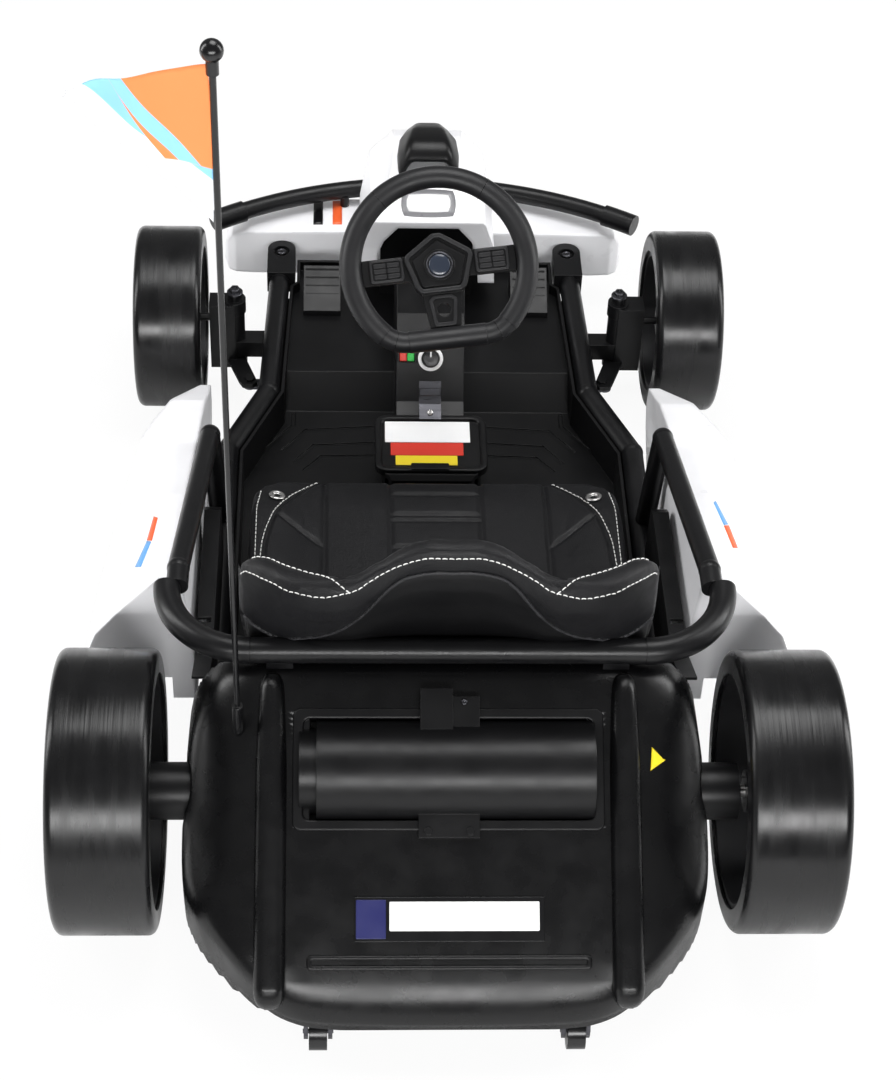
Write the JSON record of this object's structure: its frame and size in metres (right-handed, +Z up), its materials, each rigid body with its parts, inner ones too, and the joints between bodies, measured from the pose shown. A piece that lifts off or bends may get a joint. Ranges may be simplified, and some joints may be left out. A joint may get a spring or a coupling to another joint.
{
  "type": "electric drift kart",
  "caption": "Child's electric drift kart: tube frame, padded bucket seat, steering linkage, smooth drift tyres, rear casters, white pods and a pennant on a pole.",
  "frame": {"origin": "bottom centre of the bounding box, on the floor", "axes": "+Y forward, the way the kart drives; +Z up; +X to the driver's right"},
  "size_m": [0.826, 1.3429, 1.091],
  "materials": {
    "black_plastic": "fine grained satin black",
    "gloss_black": "gloss black",
    "soft_black": "soft satin black grip",
    "white_plastic": "gloss white moulding",
    "frame_paint": "satin black powder coat",
    "bare_steel": "bare steel",
    "dark_steel": "black steel",
    "drift_tyre": "smooth semi-gloss black",
    "rim_plastic": "satin black",
    "seat_leather": "black leatherette with white stitching",
    "flag_fabric": "orange, pale blue and white cloth",
    "white_label": "blank white"
  },
  "bodies": {
    "chassis": {"floor_pan": "black_plastic", "side_rails": "frame_paint", "front_beam": "frame_paint", "front_bumper": "white_plastic", "bumper_bar": "frame_paint", "nose_fairing": "white_plastic", "nose_scoop": "black_plastic", "console": "black_plastic", "console_box": "black_plastic", "controls": "gloss_black", "pedals": "black_plastic", "seat_base": "black_plastic", "seat_cushion": "seat_leather", "seat_back": "seat_leather", "battery": "gloss_black", "side_pods": "white_plastic", "side_panels": "black_plastic", "side_arms": "frame_paint", "rear_hoop": "frame_paint", "rear_cover": "black_plastic", "cover_drum": "black_plastic", "number_plate": "white_label", "rear_axle": "bare_steel", "gearboxes": "black_plastic", "rear_subframe": "frame_paint", "flag_pole": "gloss_black", "flag": "flag_fabric"},
    "steering": {"steering_column": "dark_steel", "steering_rim": "soft_black", "steering_hub": "black_plastic"},
    "knuckle_left": {"knuckle_left": "frame_paint"},
    "knuckle_right": {"knuckle_right": "frame_paint"},
    "tie_bar": {"tie_bar": "dark_steel"},
    "front_wheel_left": {"front_tyre_left": "drift_tyre", "front_rim_left": "rim_plastic"},
    "front_wheel_right": {"front_tyre_right": "drift_tyre", "front_rim_right": "rim_plastic"},
    "rear_wheel_left": {"rear_tyre_left": "drift_tyre", "rear_rim_left": "rim_plastic"},
    "rear_wheel_right": {"rear_tyre_right": "drift_tyre", "rear_rim_right": "rim_plastic"},
    "caster_fork_left": {"caster_fork_left": "dark_steel"},
    "caster_wheel_left": {"caster_wheel_left": "gloss_black"},
    "caster_fork_right": {"caster_fork_right": "dark_steel"},
    "caster_wheel_right": {"caster_wheel_right": "gloss_black"}
  },
  "joints": [
    {"name": "steering_wheel_turn", "type": "hinge", "parent": "chassis", "child": "steering", "pos_m": [0, 0.1495, 0.413], "axis": [0, -0.7071, 0.7071], "range_deg": [-25, 25]},
    {"name": "kingpin_left", "type": "hinge", "parent": "chassis", "child": "knuckle_left", "pos_m": [-0.254, 0.4095, 0.1], "axis": [0, 0, 1], "range_deg": [-20.2, 20.2]},
    {"name": "kingpin_right", "type": "hinge", "parent": "chassis", "child": "knuckle_right", "pos_m": [0.254, 0.4095, 0.1], "axis": [0, 0, 1], "range_deg": [-20.2, 20.2]},
    {"name": "tie_bar_pivot", "type": "hinge", "parent": "knuckle_left", "child": "tie_bar", "pos_m": [-0.235, 0.3535, 0.05], "axis": [0, 0, 1], "range_deg": [-22, 22]},
    {"name": "front_wheel_left_roll", "type": "hinge", "parent": "knuckle_left", "child": "front_wheel_left", "pos_m": [-0.338, 0.4095, 0.119], "axis": [1, 0, 0], "continuous": true},
    {"name": "front_wheel_right_roll", "type": "hinge", "parent": "knuckle_right", "child": "front_wheel_right", "pos_m": [0.338, 0.4095, 0.119], "axis": [1, 0, 0], "continuous": true},
    {"name": "rear_wheel_left_roll", "type": "hinge", "parent": "chassis", "child": "rear_wheel_left", "pos_m": [-0.36, -0.4285, 0.153], "axis": [1, 0, 0], "continuous": true},
    {"name": "rear_wheel_right_roll", "type": "hinge", "parent": "chassis", "child": "rear_wheel_right", "pos_m": [0.36, -0.4285, 0.153], "axis": [1, 0, 0], "continuous": true},
    {"name": "caster_left_swivel", "type": "hinge", "parent": "chassis", "child": "caster_fork_left", "pos_m": [-0.135, -0.6335, 0.07], "axis": [0, 0, 1], "continuous": true},
    {"name": "caster_left_roll", "type": "hinge", "parent": "caster_fork_left", "child": "caster_wheel_left", "pos_m": [-0.135, -0.6475, 0.026], "axis": [1, 0, 0], "continuous": true},
    {"name": "caster_right_swivel", "type": "hinge", "parent": "chassis", "child": "caster_fork_right", "pos_m": [0.135, -0.6335, 0.07], "axis": [0, 0, 1], "continuous": true},
    {"name": "caster_right_roll", "type": "hinge", "parent": "caster_fork_right", "child": "caster_wheel_right", "pos_m": [0.135, -0.6475, 0.026], "axis": [1, 0, 0], "continuous": true}
  ],
  "couplings": [
    {"joint": "kingpin_left", "follows": "steering_wheel_turn", "ratio": 0.8},
    {"joint": "kingpin_right", "follows": "steering_wheel_turn", "ratio": 0.8},
    {"joint": "tie_bar_pivot", "follows": "steering_wheel_turn", "ratio": -0.8647}
  ]
}
